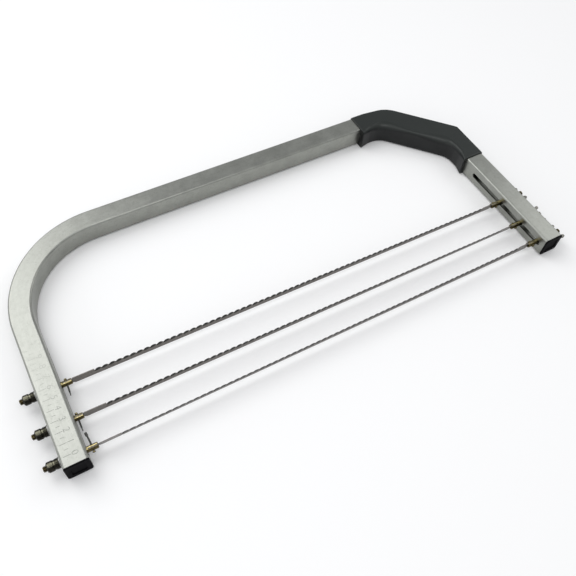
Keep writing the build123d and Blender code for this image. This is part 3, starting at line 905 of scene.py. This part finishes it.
NUT_BORE = ROD_RADIUS + 0.06
NUT_RADIUS = 4.3
NUT_COLLAR_RADIUS = 4.28
NUT_WAIST_RADIUS = 3.85
NUT_COLLAR = 3.0
NUT_HEAD = 5.2
KNURLS = 24
KNURL_DEPTH = 0.09
KNURL_START = 1.0           # from the nut's end
KNURL_STOP = 0.35           # from the end of the head
KNURL_FADE = 0.5
KNURL_LEAD = 1.9            # along the nut, for one line to pass to the next
KNURL_WIDTH = 2.2           # the higher, the narrower the grooves
KNURL_STEPS = 24
RING_DEPTH = 0.2
COLLAR_RINGS = 3
COLLAR_STEPS = 30


def make_thumb_nut(name):
    """Long nut: ringed seat collar, waist, and a knurled head with a deep chamfer."""
    node = name + "_thumb_nut"
    low, high = node_box(node)
    middle = (low + high) / 2
    end, seat = low.x, high.x
    head = end + NUT_HEAD
    knurl_from, knurl_to = end + KNURL_START, head - KNURL_STOP

    def relief(x, angle):
        if not knurl_from <= x <= knurl_to:
            return 0.0
        fade = smooth_step(min(x - knurl_from, knurl_to - x) / KNURL_FADE)
        turn = KNURLS * angle / (2 * math.pi)
        lines = [abs((turn + sign * (x - end) / KNURL_LEAD) % 1.0 - 0.5) * 2 for sign in (1, -1)]
        return -KNURL_DEPTH * fade * (1 - min(min(lines) * KNURL_WIDTH, 1.0))

    profile = [(end + 0.3, NUT_BORE), (end, NUT_BORE + 0.3), (end, NUT_RADIUS - 1.0),
               (end + 0.15, NUT_RADIUS - 0.8), (end + 0.9, NUT_RADIUS)]
    profile += [(knurl_from + (knurl_to - knurl_from) * index / KNURL_STEPS, NUT_RADIUS)
                for index in range(KNURL_STEPS + 1)]
    profile += [(head - 0.15, NUT_RADIUS - 0.1), (head, NUT_RADIUS - 0.3), (head, NUT_WAIST_RADIUS + 0.1),
                (head + 0.1, NUT_WAIST_RADIUS)]
    collar = seat - NUT_COLLAR
    profile += [(collar - 0.1, NUT_WAIST_RADIUS), (collar, NUT_WAIST_RADIUS + 0.1),
                (collar, NUT_COLLAR_RADIUS - 0.2)]
    for index in range(1, COLLAR_STEPS):
        x = collar + NUT_COLLAR * index / COLLAR_STEPS
        ripple = 0.5 - 0.5 * math.cos(2 * math.pi * COLLAR_RINGS * index / COLLAR_STEPS)
        profile.append((x, NUT_COLLAR_RADIUS - RING_DEPTH * (1 - ripple)))
    profile += [(seat, NUT_COLLAR_RADIUS - 0.3), (seat, NUT_BORE + 0.3), (seat - 0.3, NUT_BORE)]
    bm = bmesh.new()
    lathe(bm, Matrix.Translation((0, middle.y, middle.z)), profile, KNURLS * 8, relief, closed=True)
    make_piece(name + "_knurled_nut", bm, [GUNMETAL], name + "_left_nut", node)


WING_HUB_RADIUS = 4.2
WING_HUB_LENGTH = 4.2
WING_RADIUS = 8.6
WING_TIP_REACH = 8.4
WING_THICK = 1.8
WING_EDGE = 0.6
# One wing from the side: distance from the nut's axis, height above the washer, and the corners'
# roundings.  Its outline starts and ends inside the hub.
WING_OUTLINE = ((2.9, 2.0), (2.9, 0.5), (4.6, 0.9), (WING_RADIUS, 5.4), (WING_RADIUS, WING_TIP_REACH),
                (6.0, WING_TIP_REACH), (4.4, 4.1), (2.9, 3.9), (2.9, 2.0))
WING_ROUNDS = (0.05, 1.6, 1.2, 1.2, 1.1, 1.2, 0.05)
WING_ARC_STEPS = 6
HUB_TOP_RADIUS = 2.95
HUB_TOP_ROUND = (0.8, 0.7)  # along the axis and across it


def wing_plate(place, side):
    """One wing: a rounded plate that leans out from the hub."""
    corners = [(side * reach, height) for reach, height in WING_OUTLINE]
    points, _, _ = rounded_path(corners, WING_ROUNDS, WING_ARC_STEPS)
    outline = points[:-1]
    bm = bmesh.new()
    rings = []
    for level in (-WING_THICK / 2, WING_THICK / 2):
        rings.append([bm.verts.new(place @ Vector((point.y, point.x, level))) for point in outline])
    skin(bm, rings)
    rims = [edge for edge in bm.edges if any(len(face.verts) > 4 for face in edge.link_faces)]
    bmesh.ops.bevel(bm, geom=rims, offset=WING_EDGE, segments=4, profile=0.5, affect="EDGES",
                    clamp_overlap=True)
    bmesh.ops.remove_doubles(bm, verts=bm.verts, dist=0.002)
    return bm


def make_wing_nut(name):
    """Cast wing nut: a hub with a rounded top, two wings and a plain bore."""
    node = name + "_wing_nut"
    low, high = node_box(node)
    spot = node_middle(name + "_right_rod")
    spot.x = low.x
    turn = math.radians(BLADES[name][5])
    place = Matrix.Translation(spot) @ Matrix.Rotation(turn, 4, "X")
    along, inward = HUB_TOP_ROUND
    profile = [(0.0, WING_HUB_RADIUS - 0.3), (0.12, WING_HUB_RADIUS - 0.1), (0.4, WING_HUB_RADIUS)]
    for step in range(1, 9):
        angle = math.radians(90.0 * step / 8)
        profile.append((WING_HUB_LENGTH - along + along * math.sin(angle),
                        HUB_TOP_RADIUS + inward * math.cos(angle)))
    bm = bmesh.new()
    lathe(bm, place, profile, 64)
    for side in (1, -1):
        bm = combine(bm, wing_plate(place, side), "UNION")
    bm = combine(bm, drill(place, NUT_BORE, 30.0), "DIFFERENCE")
    make_piece(name + "_cast_wing_nut", bm, [ZINC], name + "_right_nut", node, sharp=40.0)


# ---------------------------------------------------------------- camera, light and floor

CAMERA_PLACE = (-0.1981, -0.3178, 0.4936)
CAMERA_TURN = (0.6000, -0.0520, -0.5048)
CAMERA_LENS = 40.2
CAMERA_SHIFT = (0.0039, -0.0034)
# Each light: place, aim, size and power
LIGHTS = {
    "softbox_left": ((-0.66, 1.12, 1.6), (-0.35, 0.1, 0.0), (1.15, 1.8), 16.6),
    "softbox_right": ((1.9, 0.34, 1.5), (0.3, 0.0, 0.0), (1.0, 1.2), 6.2),
    "softbox_key": ((-0.1, -0.5, 1.5), (0.0, 0.0, 0.0), (1.0, 0.5), 5.0),
    "card_left": ((-1.7, 0.0, 0.45), (-0.25, 0.0, 0.0), (2.0, 0.7), 4.5),
}
WORLD_COLOUR = (0.97, 0.98, 1.0, 1.0)
WORLD_STRENGTH = 0.55
FLOOR_HALF = 6.0


def make_camera():
    camera = bpy.data.cameras.new("camera")
    camera.sensor_width = 36.0
    camera.lens = CAMERA_LENS
    camera.shift_x, camera.shift_y = CAMERA_SHIFT
    camera.clip_start = 0.01
    holder = bpy.data.objects.new("camera", camera)
    holder.location = CAMERA_PLACE
    holder.rotation_euler = CAMERA_TURN
    bpy.context.scene.collection.objects.link(holder)
    bpy.context.scene.camera = holder


def area_light(name, place, aim, size, power):
    light = bpy.data.lights.new(name, "AREA")
    light.shape = "RECTANGLE"
    light.size, light.size_y = size
    light.energy = power
    holder = bpy.data.objects.new(name, light)
    holder.location = place
    holder.rotation_euler = (Vector(aim) - Vector(place)).to_track_quat("-Z", "Y").to_euler()
    bpy.context.scene.collection.objects.link(holder)


def make_lights():
    for name, (place, aim, size, power) in LIGHTS.items():
        area_light(name, place, aim, size, power)
    world = bpy.data.worlds.new("studio")
    world.use_nodes = True
    world.node_tree.nodes["Background"].inputs["Color"].default_value = WORLD_COLOUR
    world.node_tree.nodes["Background"].inputs["Strength"].default_value = WORLD_STRENGTH
    bpy.context.scene.world = world
    bpy.context.scene.view_settings.view_transform = "Standard"


def make_floor():
    mesh = bpy.data.meshes.new("floor")
    side = FLOOR_HALF
    corners = [(-side, -side, 0.0), (side, -side, 0.0), (side, side, 0.0), (-side, side, 0.0)]
    mesh.from_pydata(corners, [], [(0, 1, 2, 3)])
    floor = bpy.data.objects.new("floor", mesh)
    bpy.context.scene.collection.objects.link(floor)
    look = Look("floor_pale", (0.94, 0.94, 0.94), 0.0, 0.9)
    mesh.materials.append(look.material)


make_camera()
make_lights()
make_floor()
finish_cad_nodes()
make_scale()
make_grip()
for blade in BLADES:
    make_blade(blade)
    make_tail_pin(blade)
    make_rivet_pin(blade)
    make_thumb_nut(blade)
    make_wing_nut(blade)
    for blade_end in ("left", "right"):
        make_rod(blade, blade_end)
        make_washer(blade, blade_end)
